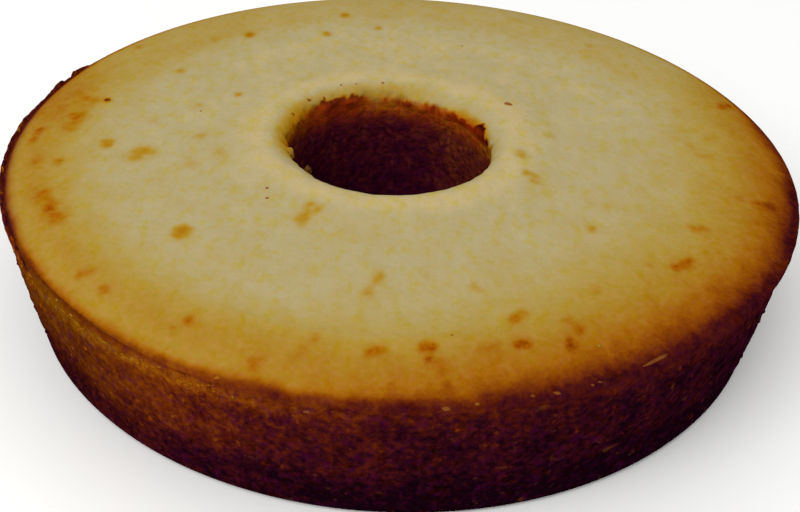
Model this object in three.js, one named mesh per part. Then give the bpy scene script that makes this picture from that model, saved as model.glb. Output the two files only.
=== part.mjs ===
// Cassava ring cake, baked in a plain tube pan and standing as it baked, with its top crust up.
// Millimetres, +Z up, origin at the middle of the flat base.
// Seen from the front, +X is to the right and -Y is near.
// Angles are in degrees from +X, so 90 is the back, 180 the left and 270 the front.

import * as THREE from 'three';
import { ImprovedNoise } from 'three/addons/math/ImprovedNoise.js';
import { mergeVertices } from 'three/addons/utils/BufferGeometryUtils.js';

// Driving dimensions
const RIM_RADIUS = 120; // the widest place, just below the edge of the top
const RIM_HEIGHT = 43; // where the shoulder of the top meets the side
const BASE_RADIUS = 113; // foot of the side, narrower because the pan has draft
const CAKE_HEIGHT = 50.5; // up to the swelling round the hole
const HOLE_RADIUS = 31.5; // neck of the hole, just below the top
const HOLE_BASE_RADIUS = 35.5; // the pan's tube is wider at its foot
const HOLE_SHIFT = { x: -3.5, y: -1.9 }; // the tube stood a little off the middle, left and near

// Sizes that shape the profile
const BASE_ROUND = 3.5;
const HOLE_BASE_ROUND = 1.5;
const SIDE_BELLY = 0.5; // the side swells this much past a straight line
const RIM_ROUND = 3.6; // height of the turn from the side to the shoulder
const RIM_TURN = 0.8; // how far that turn's corner lies outside the rim
const CREASE_INSET = 1.6; // the crease behind the standing crust lies this far inside the rim
const SHOULDER_RADIUS = 97; // the top starts to roll down here
const SHOULDER_HEIGHT = 47.8;
const VALLEY_RADIUS = 52; // foot of the swelling round the hole
const VALLEY_HEIGHT = 48.9;
const LIP_RADIUS = 39; // crest of that swelling
const LIP_ROUND = 1.5; // how far outside the crest the swelling levels off
const NECK_HEIGHT = 45; // level of the neck of the hole

// Relief of the crust
const BROAD_SWELL = 0.5; // slow rise and fall of the top
const TOP_LUMPS = { size: 17, depth: 0.45 };
const SIDE_CRUMB = { size: 9, depth: 0.6 };
const WALL_CRAGS = { size: 5.5, depth: 1.6 };
const RIM_CRAGS = { size: 13, depth: 0.7 };

// Thin crust that climbed the pan's wall on the left, with a crease behind it
const CRUST_FLAP = { angle: 184, spread: 34, fade: 14, height: 1.3, crease: 0.6 };
// Crease between the top and the side at the lower left, which sinks by its slope for each degree
const RIM_GROOVE = { angle: 231, spread: 28, fade: 14, height: 42.1, slope: -0.075, width: 0.8, depth: 0.7 };
// On the right the top rolls out over the side a little
const RIM_BULGE = { angle: 342, spread: 48, fade: 40, depth: 1 };
// Torn places round the mouth of the hole: how many, how wide and how deep the crust came away
const TEARS = { count: 13, width: [4, 11], depth: [0.3, 1.2] };
// At the back right, the front left and the right the lip reaches further into the hole
const LIP_LOBES = [
  { angle: 48, spread: 44, fade: 24, depth: 2 },
  { angle: 206, spread: 30, fade: 18, depth: 2 },
  { angle: 6, spread: 24, fade: 16, depth: 1 },
];

const SEGMENTS = 128;
const DEGREE = Math.PI / 180;
const GOLDEN_SHARE = 0.618034;
const MERGE_GAP = 1e-4; // points closer than this are one
const perlin = new ImprovedNoise();

// Profile from the base round the outside to the hole: each stretch names the zone of its relief
function buildProfile() {
  const at = (r, z) => new THREE.Vector2(r, z);
  const baseInner = at(HOLE_BASE_RADIUS + HOLE_BASE_ROUND, 0);
  const baseOuter = at(BASE_RADIUS - BASE_ROUND, 0);
  const foot = at(BASE_RADIUS, BASE_ROUND);
  const rimFoot = at(RIM_RADIUS - RIM_TURN, RIM_HEIGHT - RIM_ROUND);
  const belly = foot.clone().lerp(rimFoot, 0.5).add(at(2 * SIDE_BELLY, 0));
  const rimTurn = at(RIM_RADIUS + RIM_TURN, RIM_HEIGHT - RIM_ROUND / 3);
  const rimTop = at(RIM_RADIUS - CREASE_INSET / 2, RIM_HEIGHT);
  const crease = at(RIM_RADIUS - CREASE_INSET, RIM_HEIGHT + CREASE_INSET / 4);
  const shoulder = at(SHOULDER_RADIUS, SHOULDER_HEIGHT);
  const roll = at((crease.x + shoulder.x) / 2, SHOULDER_HEIGHT);
  const valley = at(VALLEY_RADIUS, VALLEY_HEIGHT);
  const lipFoot = at(LIP_RADIUS + LIP_ROUND, CAKE_HEIGHT);
  const lip = at(LIP_RADIUS, CAKE_HEIGHT);
  const lipTurn = at(HOLE_RADIUS, CAKE_HEIGHT);
  const neck = at(HOLE_RADIUS, NECK_HEIGHT);
  const holeFoot = at(HOLE_BASE_RADIUS, HOLE_BASE_ROUND);

  const stretches = [
    ['base', 1, new THREE.LineCurve(baseInner, baseOuter)],
    ['base', 3, new THREE.QuadraticBezierCurve(baseOuter, at(BASE_RADIUS, 0), foot)],
    ['side', 7, new THREE.QuadraticBezierCurve(foot, belly, rimFoot)],
    ['rim', 6, new THREE.QuadraticBezierCurve(rimFoot, rimTurn, rimTop)],
    ['crease', 1, new THREE.LineCurve(rimTop, crease)],
    ['top', 6, new THREE.QuadraticBezierCurve(crease, roll, shoulder)],
    ['top', 4, new THREE.LineCurve(shoulder, valley)],
    ['top', 3, new THREE.QuadraticBezierCurve(valley, lipFoot, lip)],
    ['lip', 4, new THREE.QuadraticBezierCurve(lip, lipTurn, neck)],
    ['wall', 7, new THREE.LineCurve(neck, holeFoot)],
    ['base', 1, new THREE.LineCurve(holeFoot, baseInner)],
  ];
  const profile = [{ point: baseInner, zone: 'base' }];
  for (const [zone, steps, curve] of stretches) {
    for (const point of curve.getPoints(steps).slice(1)) profile.push({ point, zone });
  }
  return profile;
}

const between = ([low, high], share) => low + (high - low) * share;

// Well spread share between 0 and 1 for item n of a set
const spreadShare = (n) => (n * GOLDEN_SHARE) % 1;

function lumps(p, { size, depth }) {
  return depth * perlin.noise(p.x / size, p.y / size, p.z / size);
}

// Degrees from one angle to another, between -180 and 180
const turnBetween = (middle, angle) => THREE.MathUtils.euclideanModulo(angle - middle + 180, 360) - 180;

// Share from 1 near an angle to 0 at the ends of its spread, over the last stretch called fade
function nearAngle(angle, { angle: middle, spread, fade }) {
  return THREE.MathUtils.smoothstep(spread - Math.abs(turnBetween(middle, angle)), 0, fade);
}

// Tears stand evenly round the mouth of the hole, each with its own shift, width and depth
const tears = Array.from({ length: TEARS.count }, (_, n) => {
  const spread = between(TEARS.width, spreadShare(2 * n + 1)) / HOLE_RADIUS / DEGREE / 2;
  return {
    angle: (360 * (n + spreadShare(n))) / TEARS.count,
    spread,
    fade: spread,
    depth: between(TEARS.depth, spreadShare(3 * n + 2)),
  };
});

// How much wider the hole's mouth is at this angle, where crust came away or the lip reaches inward
function mouthShift(angle) {
  const depthOf = (places) => places.reduce((sum, place) => sum + place.depth * nearAngle(angle, place), 0);
  return depthOf(tears) - depthOf(LIP_LOBES);
}

// How deep the crease at the lower left is at this angle and height
function grooveDepth(angle, z) {
  const line = RIM_GROOVE.height + RIM_GROOVE.slope * turnBetween(RIM_GROOVE.angle, angle);
  const offset = (z - line) / RIM_GROOVE.width;
  return RIM_GROOVE.depth * nearAngle(angle, RIM_GROOVE) * Math.exp(-offset * offset);
}

// Moves one point of the turned cake: outward by radial and upward by rise
function reliefAt(p, zone) {
  const angle = Math.atan2(p.y, p.x) / DEGREE;
  const reach = Math.hypot(p.x, p.y);
  const inside = THREE.MathUtils.clamp((RIM_RADIUS - reach) / (RIM_RADIUS - SHOULDER_RADIUS), 0, 1);
  const swell = BROAD_SWELL * Math.sin(2 * angle * DEGREE + 1) * Math.cos(angle * DEGREE) * inside;
  const flap = nearAngle(angle, CRUST_FLAP);
  const rimShare = THREE.MathUtils.clamp((p.z - RIM_HEIGHT + RIM_ROUND) / RIM_ROUND, 0, 1);
  const wallShare = THREE.MathUtils.clamp(p.z / NECK_HEIGHT, 0, 1);
  const lipShare = THREE.MathUtils.clamp((CAKE_HEIGHT - p.z) / (CAKE_HEIGHT - NECK_HEIGHT), 0, 1);
  const bulge = RIM_BULGE.depth * nearAngle(angle, RIM_BULGE) * rimShare;
  switch (zone) {
    case 'side':
      return { radial: -Math.abs(lumps(p, SIDE_CRUMB)), rise: 0 };
    case 'rim':
      return {
        radial: bulge - grooveDepth(angle, p.z) - Math.abs(lumps(p, RIM_CRAGS)),
        rise: rimShare * flap * (CRUST_FLAP.height + lumps(p, RIM_CRAGS)),
      };
    case 'crease':
      return { radial: 0, rise: -flap * CRUST_FLAP.crease };
    case 'top':
      return { radial: 0, rise: swell + inside * lumps(p, TOP_LUMPS) };
    case 'lip':
      return { radial: mouthShift(angle) * lipShare, rise: swell };
    case 'wall':
      return { radial: mouthShift(angle) * wallShare ** 3 + Math.abs(lumps(p, WALL_CRAGS)), rise: 0 };
    default:
      return { radial: 0, rise: 0 };
  }
}

// Share from 0 at the shoulder to 1 at the lip, by which a point follows the shifted tube
function tubeShare(reach) {
  return THREE.MathUtils.clamp((SHOULDER_RADIUS - reach) / (SHOULDER_RADIUS - LIP_RADIUS), 0, 1);
}

function buildCake() {
  const profile = buildProfile();
  const turned = new THREE.LatheGeometry(profile.map(({ point }) => point), SEGMENTS);
  turned.rotateX(Math.PI / 2);
  turned.deleteAttribute('normal');
  turned.deleteAttribute('uv');

  const positions = turned.getAttribute('position');
  const p = new THREE.Vector3();
  for (let i = 0; i < positions.count; i += 1) {
    p.fromBufferAttribute(positions, i);
    const { zone } = profile[i % profile.length];
    const { radial, rise } = reliefAt(p, zone);
    const reach = Math.hypot(p.x, p.y);
    const share = tubeShare(reach);
    p.x += (p.x / reach) * radial + HOLE_SHIFT.x * share;
    p.y += (p.y / reach) * radial + HOLE_SHIFT.y * share;
    p.z += rise;
    positions.setXYZ(i, p.x, p.y, p.z);
  }
  const closed = mergeVertices(turned, MERGE_GAP);
  closed.computeVertexNormals();
  return closed;
}

const crust = new THREE.MeshStandardMaterial({ color: 0xb59a58, roughness: 0.85, metalness: 0 });
const cake = new THREE.Mesh(buildCake(), crust);
cake.name = 'cassava_cake';

const part = new THREE.Group();
part.add(cake);

export default part;
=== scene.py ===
"""Looks of a whole cassava ring cake: pale domed top, golden shoulder, dark crumbly side and torn hole.

Metres, +Z up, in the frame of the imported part. Angles are degrees from +X, so 90 is the back, 180 the
left and 270 the front. Places that are named by pixels belong to an image of 800 by 512.
"""

import logging
import math
import random
from dataclasses import dataclass
from enum import Enum
from typing import Any

import bmesh
import bpy
import numpy as np
from mathutils import Matrix, Vector, noise
from mathutils.bvhtree import BVHTree


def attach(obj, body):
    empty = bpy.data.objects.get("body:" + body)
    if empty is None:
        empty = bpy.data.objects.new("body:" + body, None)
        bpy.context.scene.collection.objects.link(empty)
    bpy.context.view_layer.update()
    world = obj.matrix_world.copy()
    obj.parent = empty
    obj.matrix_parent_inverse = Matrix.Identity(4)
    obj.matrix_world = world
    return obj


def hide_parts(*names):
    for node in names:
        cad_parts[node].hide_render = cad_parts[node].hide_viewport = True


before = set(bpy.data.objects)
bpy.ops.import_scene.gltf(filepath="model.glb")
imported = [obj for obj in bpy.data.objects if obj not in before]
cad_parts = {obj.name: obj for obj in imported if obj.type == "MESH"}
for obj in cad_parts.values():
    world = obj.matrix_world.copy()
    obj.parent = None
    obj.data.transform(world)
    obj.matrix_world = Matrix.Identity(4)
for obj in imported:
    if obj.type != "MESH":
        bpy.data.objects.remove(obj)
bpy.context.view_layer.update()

MM = 0.001
FULL_TURN = 360
SAME_PLACE = 1e-7  # places closer than this are one
LEAST_SQUARE = 1e-12  # keeps a mark of no length from being divided by nothing
GOLDEN_SHARE = 0.618034
CAKE_NODE = "cassava_cake"
CRUST_SLOT = "baked_crust"

log = logging.getLogger("cassava_cake")

Pixel = tuple[float, float]
Colour = tuple[int, int, int]


def spread_share(item: int) -> float:
    """Well spread share between 0 and 1 for one item of a set."""
    return item * GOLDEN_SHARE % 1


def linear(colour: Colour) -> tuple[float, float, float, float]:
    """Turns a screen colour into the linear colour that shaders take, by the sRGB curve.

    Args:
        colour: Red, green and blue from 0 to 255.

    Returns:
        Linear red, green and blue from 0 to 1, and an alpha of 1.
    """
    shares = [part / 255 for part in colour]
    parts = [part / 12.92 if part <= 0.04045 else ((part + 0.055) / 1.055) ** 2.4 for part in shares]
    return (*parts, 1.0)


def spun(form: bmesh.types.BMesh, outline: list[bmesh.types.BMVert], degrees: float, steps: int) -> None:
    """Closes an outline and spins it round the cake's axis.

    Args:
        form: The mesh that holds the outline.
        outline: The outline's points in order.
        degrees: How far it turns.
        steps: In how many steps.
    """
    edges = [form.edges.new(pair) for pair in zip(outline, outline[1:] + outline[:1])]
    bmesh.ops.spin(
        form,
        geom=outline + edges,
        axis=(0, 0, 1),
        cent=(0, 0, 0),
        angle=math.radians(degrees),
        steps=steps,
        use_merge=degrees == FULL_TURN,
    )


class Zone(Enum):
    """Stretches of the cake's skin, which differ in relief and browning."""

    BASE = 0
    SIDE = 1
    RIM = 2
    TOP = 3
    LIP = 4
    WALL = 5


class Held(Enum):
    """Values that a mesh holds at each point for the crust's finish."""

    BROWNING = "browning"
    BLISTER = "blister"
    CRUMB = "crumb"
    OLIVE = "olive"
    TORN = "torn"
    # dark purple: painted shade low in the hole, and the scorched edge's own purple
    SHADE_AND_SCORCH = "deep"
    # flake colour, darkened with painted shade of the side
    SHADED_FLAKE = "flake"


class Blend(Enum):
    """Ways in which one colour lies over another."""

    COVER = "MIX"
    STAIN = "MULTIPLY"


@dataclass(frozen=True)
class Ramp:
    """A smooth change along one measure, from 0 at its start to its gain at its end."""

    start: float
    end: float
    gain: float = 1.0

    def at(self, value: np.ndarray) -> np.ndarray:
        """Reads the ramp at any values."""
        share = np.clip((value - self.start) / (self.end - self.start), 0.0, 1.0)
        return self.gain * share * share * (3.0 - 2.0 * share)


@dataclass(frozen=True)
class Bell:
    """A rise and fall along one measure, round its middle."""

    width: float
    middle: float = 0.0
    height: float = 1.0

    def at(self, value: np.ndarray) -> np.ndarray:
        """Reads the bell at any values."""
        return self.height * np.exp(-(((value - self.middle) / self.width) ** 2))


@dataclass(frozen=True)
class Curve:
    """Values at rising places, joined by straight lines."""

    places: tuple[float, ...]
    values: tuple[float, ...]

    def at(self, place: np.ndarray) -> np.ndarray:
        """Reads the curve at any places."""
        return np.interp(place, self.places, self.values)


@dataclass(frozen=True)
class Lumps:
    """One layer of soft noise. Another layer number is another noise, and a folded one only rises."""

    depth: float
    size: float
    layer: float = 0.0
    folded: bool = False

    def at(self, points: np.ndarray) -> np.ndarray:
        """Reads the noise.

        Args:
            points: Places, one row each.

        Returns:
            One value for each place, as large as the depth at most.
        """
        places = (points / self.size + self.layer).tolist()
        values = np.array([noise.noise(place) for place in places])
        return self.depth * (np.abs(values) if self.folded else values)


def summed(layers: tuple[Lumps, ...], points: np.ndarray) -> np.ndarray:
    """Sums layers of noise at places, one row each."""
    return sum(layer.at(points) for layer in layers)


@dataclass(frozen=True)
class Stretch:
    """One run of the cake's profile, straight or with one bend."""

    zone: Zone
    steps: int
    start: Vector
    end: Vector
    bend: Vector | None = None

    def points(self) -> list[Vector]:
        """Follows the run in even steps.

        Returns:
            The points after the start, as radius and height.
        """
        bend = (self.start + self.end) / 2 if self.bend is None else self.bend
        shares = [step / self.steps for step in range(1, self.steps + 1)]
        return [
            self.start * (1 - t) ** 2 + bend * (2 * t * (1 - t)) + self.end * t**2 for t in shares
        ]


@dataclass(frozen=True)
class AngleSpan:
    """A part of the way round the cake, in degrees."""

    middle: float
    spread: float
    fade: float

    def turn(self, angle: np.ndarray) -> np.ndarray:
        """Gives the degrees from the middle, between -180 and 180."""
        return (angle - self.middle + FULL_TURN / 2) % FULL_TURN - FULL_TURN / 2

    def share(self, angle: np.ndarray) -> np.ndarray:
        """Gives 1 inside the span and falls to 0 over the fade at its ends."""
        return Ramp(0, self.fade).at(self.spread - np.abs(self.turn(angle)))


@dataclass(frozen=True)
class PhotoCamera:
    """Camera that sees the cake as the image does, and lines of sight through its pixels."""

    image: tuple[int, int] = (800, 512)
    focal_pixels: float = 1312
    sensor: float = 36
    nearest: float = 10 * MM
    elevation: float = math.radians(34.15)
    roll: float = math.radians(-2.4)
    distance: float = 360 * MM
    target: Vector = Vector((1.15, -56.1, 42.5)) * MM

    def axes(self) -> Matrix:
        """Works out how the camera stands.

        Returns:
            Its right, up and back directions as the columns of a matrix.
        """
        right = Vector((1, 0, 0))
        up = Vector((0, math.sin(self.elevation), math.cos(self.elevation)))
        back = Vector((0, -math.cos(self.elevation), math.sin(self.elevation)))
        turned_right = right * math.cos(self.roll) - up * math.sin(self.roll)
        turned_up = right * math.sin(self.roll) + up * math.cos(self.roll)
        return Matrix((turned_right, turned_up, back)).transposed()

    def eye(self) -> Vector:
        """Gives the camera's place."""
        return self.target + self.axes().col[2] * self.distance

    def sight(self, pixel: Pixel) -> Vector:
        """Works out where a pixel looks.

        Args:
            pixel: Its place in the image, from the top left.

        Returns:
            The direction of its line of sight.
        """
        width, height = self.image
        across = (pixel[0] - width / 2) / self.focal_pixels
        upward = (height / 2 - pixel[1]) / self.focal_pixels
        return (self.axes() @ Vector((across, upward, -1))).normalized()

    def hit(self, surface: BVHTree, pixel: Pixel) -> tuple[Vector, Vector]:
        """Finds the place of a surface that a pixel sees, and its normal there."""
        return surface.ray_cast(self.eye(), self.sight(pixel))[:2]

    def build(self) -> None:
        """Makes the camera and sets it as the scene's."""
        lens = bpy.data.cameras.new("view")
        lens.sensor_width = self.sensor
        lens.lens = self.focal_pixels / self.image[0] * self.sensor
        lens.clip_start = self.nearest
        camera = bpy.data.objects.new("view", lens)
        camera.matrix_world = Matrix.Translation(self.eye()) @ self.axes().to_4x4()
        bpy.context.scene.collection.objects.link(camera)
        bpy.context.scene.camera = camera


class Term:
    """A shader socket that takes part in Python expressions."""

    def __init__(self, tree: "ShaderTree", socket: bpy.types.NodeSocket) -> None:
        """Wraps one output socket of a tree."""
        self.tree = tree
        self.socket = socket

    def _math(self, operation: str, first: Any, second: Any) -> "Term":
        """Adds a Math node for one operation on two values."""
        return self.tree.node("ShaderNodeMath", {"operation": operation}, {0: first, 1: second})

    def __add__(self, other: Any) -> "Term":
        """Adds."""
        return self._math("ADD", self, other)

    __radd__ = __add__

    def __sub__(self, other: Any) -> "Term":
        """Subtracts."""
        return self._math("SUBTRACT", self, other)

    def __rsub__(self, other: Any) -> "Term":
        """Subtracts from a number."""
        return self._math("SUBTRACT", other, self)

    def __mul__(self, other: Any) -> "Term":
        """Multiplies."""
        return self._math("MULTIPLY", self, other)

    __rmul__ = __mul__

    def rise(self, low: float, high: float) -> "Term":
        """Rises smoothly from 0 at low to 1 at high."""
        inputs = {"Value": self, "From Min": low, "From Max": high}
        return self.tree.node("ShaderNodeMapRange", {"interpolation_type": "SMOOTHSTEP"}, inputs)


@dataclass(frozen=True)
class Mottling:
    """Noise of a finish: the size of its lumps, its layers of detail and how harsh these are."""

    size: float
    detail: float = 2.0
    harsh: float = 0.5


class ShaderTree:
    """A material's node tree, with one method that adds any node."""

    def __init__(self, name: str) -> None:
        """Starts a material with no nodes.

        Args:
            name: The material's name.
        """
        self.material = bpy.data.materials.new(name)
        self.material.use_nodes = True
        self.nodes = self.material.node_tree.nodes
        self.links = self.material.node_tree.links
        self.nodes.clear()

    def node(
        self,
        kind: str,
        settings: dict[str, Any] | None = None,
        inputs: dict[str | int, Any] | None = None,
        output: str | int = 0,
    ) -> Term | None:
        """Adds a node.

        Args:
            kind: The node's type.
            settings: Properties to set first; "stops" are a ramp's places and colours.
            inputs: Values or terms for its sockets.
            output: The socket to go on with.

        Returns:
            That output as a term, or nothing where the node has no output.
        """
        made = self.nodes.new(kind)
        for name, value in (settings or {}).items():
            if name == "stops":
                self._set_stops(made.color_ramp, value)
            else:
                setattr(made, name, value)
        for name, value in (inputs or {}).items():
            if isinstance(value, Term):
                self.links.new(value.socket, made.inputs[name])
            else:
                made.inputs[name].default_value = value
        return Term(self, made.outputs[output]) if made.outputs else None

    @staticmethod
    def _set_stops(ramp: bpy.types.ColorRamp, stops: tuple[tuple[float, Colour], ...]) -> None:
        """Gives a ramp its stops.

        Args:
            ramp: The ramp, which has two stops at first.
            stops: Places from 0 to 1, each with its colour.
        """
        while len(ramp.elements) < len(stops):
            ramp.elements.new(1.0)
        for element, (place, colour) in zip(ramp.elements, stops):
            element.position = place
            element.color = linear(colour)

    def held(self, value: Held) -> Term:
        """Reads a value that the mesh holds."""
        return self.node("ShaderNodeAttribute", {"attribute_name": value.value}, output="Fac")

    def lumps(self, where: Term, kind: Mottling) -> Term:
        """Makes noise from about -0.5 to 0.5."""
        inputs = {"Vector": where, "Scale": 1 / kind.size, "Detail": kind.detail, "Roughness": kind.harsh}
        return self.node("ShaderNodeTexNoise", None, inputs, "Fac") - 0.5

    def cells(self, where: Term, size: float) -> Term:
        """Makes the distance to the nearest of scattered points, in shares of their spacing."""
        inputs = {"Vector": where, "Scale": 1 / size}
        return self.node("ShaderNodeTexVoronoi", None, inputs, "Distance")

    def mixed(self, share: Any, first: Any, second: Any, blend: Blend) -> Term:
        """Lays a second colour over a first by a share."""
        settings = {"data_type": "RGBA", "blend_type": blend.value}
        return self.node("ShaderNodeMix", settings, {0: share, 6: first, 7: second}, 2)

    def surface(self, inputs: dict[str | int, Any]) -> bpy.types.Material:
        """Ends the tree in one shader.

        Args:
            inputs: Values or terms for the shader's sockets.

        Returns:
            The finished material.
        """
        shader = self.node("ShaderNodeBsdfPrincipled", None, inputs)
        self.node("ShaderNodeOutputMaterial", None, {"Surface": shader})
        return self.material


@dataclass(frozen=True)
class Tint:
    """A colour on the crust: the noise where it begins and is full, its strength, and what gold adds."""

    colour: Colour
    limits: tuple[float, float] = (0.0, 1.0)
    strength: float = 1.0
    on_gold: float = 0.0
    blend: Blend = Blend.COVER

    def share(self, lumps: Term, golden: Term) -> Term:
        """Gives the tint's share where its lumps are, by how golden the crust is."""
        return lumps.rise(*self.limits) * (self.strength + golden * self.on_gold)

    def over(self, colour: Term, share: Term) -> Term:
        """Lays the tint over a colour by a share."""
        return colour.tree.mixed(share, colour, linear(self.colour), self.blend)


class CrustTerms:
    """What the crust's finish reads at each point: noises, and the values that the mesh holds."""

    def __init__(self, tree: ShaderTree, finish: "CrustFinish") -> None:
        """Makes the noises and reads the values.

        Args:
            tree: The material's nodes.
            finish: The finish that says which noises it has.
        """
        where = tree.node("ShaderNodeTexCoord", output="Object")
        drawn = tree.node("ShaderNodeMapping", None, {"Vector": where, "Scale": finish.drawn_out})
        self.patches = tree.lumps(drawn, finish.patches)
        self.mottle = tree.lumps(drawn, finish.mottle)
        self.yellow = tree.lumps(drawn, finish.yellow_lumps)
        self.blush = tree.lumps(where, finish.blush_lumps)
        self.purple = tree.lumps(where, finish.purple_lumps)
        self.flecks = tree.lumps(where, finish.fleck_lumps)
        self.specks = tree.lumps(where, finish.specks)
        self.fine = tree.lumps(where, finish.fine)
        self.cells = tree.cells(where, finish.crumb_size)
        self.browned = tree.held(Held.BROWNING)
        self.golden = self.browned.rise(*finish.golden_tones)
        self.blister = tree.held(Held.BLISTER)
        self.crumb = tree.held(Held.CRUMB)


@dataclass(frozen=True)
class CrustFinish:
    """Baked crust, from pale cream through gold to nearly black, by the piece's own browning."""

    stops: tuple[tuple[float, Colour], ...] = (
        (0.00, (183, 164, 119)),
        (0.08, (169, 155, 115)),
        (0.20, (165, 142, 79)),
        (0.30, (162, 131, 55)),
        (0.42, (158, 118, 36)),
        (0.55, (152, 94, 12)),
        (0.64, (134, 71, 7)),
        (0.74, (108, 45, 9)),
        (0.84, (74, 20, 14)),
        (0.92, (46, 8, 19)),
        (1.00, (20, 3, 14)),
    )
    golden_tones: tuple[float, float] = (0.15, 0.35)
    burning_tones: tuple[float, float] = (0.4, 0.7)
    yellow: Tint = Tint((253, 248, 150), (-0.05, 0.2), 0.68, 0.32, Blend.STAIN)
    green: Tint = Tint((246, 255, 232), (0, 0.2), 0.4, 0.3, Blend.STAIN)
    blush: Tint = Tint((190, 140, 104), (-0.05, 0.25), 0.13, 0.05)
    olive: Tint = Tint((216, 238, 205), blend=Blend.STAIN)
    blister: Tint = Tint((255, 231, 128), (0.01, 0.3), blend=Blend.STAIN)
    tan_crumb: Tint = Tint((116, 64, 16), (0.13, 0.24), 0.3)
    purple_crumb: Tint = Tint((66, 4, 48), (0, 0.2), 0.4)
    torn: Tint = Tint((172, 54, 12), strength=0.75)
    torn_specks: float = 1.2
    # dark purple for painted shade in the hole and for the scorched edge
    deep: Tint = Tint((66, 4, 48), strength=0.3)
    # the flakes' own colour, darkened with painted shade of the side
    flake: Tint = Tint((112, 66, 32), strength=0.8)
    drawn_out: tuple[float, float, float] = (1, 0.6, 1)  # stretches lumps from front to back
    patches: Mottling = Mottling(13 * MM, 3)
    mottle: Mottling = Mottling(5 * MM, 4)
    yellow_lumps: Mottling = Mottling(3.2 * MM, 3, 0.65)
    blush_lumps: Mottling = Mottling(1.8 * MM, 3, 0.65)
    purple_lumps: Mottling = Mottling(3 * MM, 3, 0.7)
    fleck_lumps: Mottling = Mottling(3.4 * MM, 4)
    specks: Mottling = Mottling(1.9 * MM)
    fine: Mottling = Mottling(0.9 * MM)
    crumb_size: float = 2.4 * MM
    blister_tone: float = 0.58
    blister_specks: float = 0.5
    blister_fine: float = 0.3
    patch_tone: float = 0.09
    mottle_tone: float = 0.12
    speck_tone: float = 0.06
    crumb_speck_tone: float = 0.19
    golden_speck_tone: float = 0.03
    fine_tone: float = 0.05
    golden_fine_tone: float = 0.06
    relief: float = 1 * MM
    mottle_relief: float = 0.3
    speck_relief: float = 0.16
    fine_relief: float = 0.08
    cell_relief: float = -0.6
    crumb_speck_relief: float = 0.5
    crumb_fine_relief: float = 0.35
    roughness: float = 0.8
    patch_roughness: float = 0.2
    speck_roughness: float = 0.15

    def make(self) -> bpy.types.Material:
        """Builds the material.

        Returns:
            The crust for every piece of the cake.
        """
        tree = ShaderTree(CRUST_SLOT)
        terms = CrustTerms(tree, self)
        rough = terms.patches * self.patch_roughness + terms.specks * self.speck_roughness
        inputs = {
            "Base Color": self._colour(tree, terms),
            "Roughness": self.roughness + rough,
            "Normal": self._normal(tree, terms),
            "Specular IOR Level": 0.0,
        }
        return tree.surface(inputs)

    def _tone(self, terms: CrustTerms) -> Term:
        """Adds blisters and mottling to the piece's browning.

        Args:
            terms: What the finish reads.

        Returns:
            The place on the ramp of colours.
        """
        blister = self.blister_tone + terms.specks * self.blister_specks + terms.fine * self.blister_fine
        tone = terms.browned + terms.blister * blister
        tone = tone + terms.patches * self.patch_tone + terms.mottle * self.mottle_tone
        specks = self.speck_tone + terms.crumb * self.crumb_speck_tone
        specks = specks + terms.golden * self.golden_speck_tone
        fine = self.fine_tone + terms.golden * self.golden_fine_tone
        return tone + terms.specks * specks + terms.fine * fine

    def _colour(self, tree: ShaderTree, terms: CrustTerms) -> Term:
        """Colours the crust by its tone and lays the tints over that in order.

        Args:
            tree: The material's nodes.
            terms: What the finish reads.

        Returns:
            The colour.
        """
        tone = self._tone(terms)
        unburnt = 1 - tone.rise(*self.burning_tones)
        tan = terms.flecks.rise(*self.tan_crumb.limits) * self.tan_crumb.strength
        purple = terms.purple.rise(*self.purple_crumb.limits) * self.purple_crumb.strength
        layers = (
            (self.yellow, self.yellow.share(terms.yellow, terms.golden)),
            (self.green, self.green.share(0 - terms.blush, terms.golden)),
            (self.blush, self.blush.share(terms.blush, terms.golden) * unburnt),
            (self.olive, tree.held(Held.OLIVE)),
            (self.blister, terms.blister.rise(*self.blister.limits)),
            (self.tan_crumb, tan * terms.crumb),
            (self.purple_crumb, purple * terms.crumb),
            (self.torn, tree.held(Held.TORN) * (self.torn.strength + terms.specks * self.torn_specks)),
            # painted purple shade in the hole, and the scorched edge
            (self.deep, tree.held(Held.SHADE_AND_SCORCH) * self.deep.strength),
            # flake colour, which holds painted shade
            (self.flake, tree.held(Held.SHADED_FLAKE) * self.flake.strength),
        )
        colour = tree.node("ShaderNodeValToRGB", {"stops": self.stops}, {"Fac": tone}, "Color")
        for tint, share in layers:
            colour = tint.over(colour, share)
        return colour

    def _normal(self, tree: ShaderTree, terms: CrustTerms) -> Term:
        """Makes the crust's fine relief, lumpier where it is crumbly.

        Args:
            tree: The material's nodes.
            terms: What the finish reads.

        Returns:
            The normal.
        """
        smooth = terms.mottle * self.mottle_relief
        smooth = smooth + terms.specks * self.speck_relief + terms.fine * self.fine_relief
        lumpy = terms.cells * self.cell_relief
        lumpy = lumpy + terms.specks * self.crumb_speck_relief + terms.fine * self.crumb_fine_relief
        height = smooth + terms.crumb * (lumpy - smooth)
        return tree.node("ShaderNodeBump", None, {"Distance": self.relief, "Height": height}, "Normal")


@dataclass(frozen=True)
class FloorFinish:
    """Matt pale floor."""

    colour: Colour = (250, 250, 248)
    roughness: float = 0.8
    gloss: float = 0.1

    def make(self) -> bpy.types.Material:
        """Builds the material.

        Returns:
            The floor's material.
        """
        # share of the flake colour, which holds painted shade
        inputs = {
            "Base Color": linear(self.colour),
            "Roughness": self.roughness,
            "Specular IOR Level": self.gloss,
        }
        return ShaderTree("pale_floor").surface(inputs)


@dataclass(frozen=True)
class Mark:
    """A browned blister or streak of the top, placed by pixels, with its width in millimetres."""

    start: Pixel
    width: float
    tone: float
    end: Pixel | None = None


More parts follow.
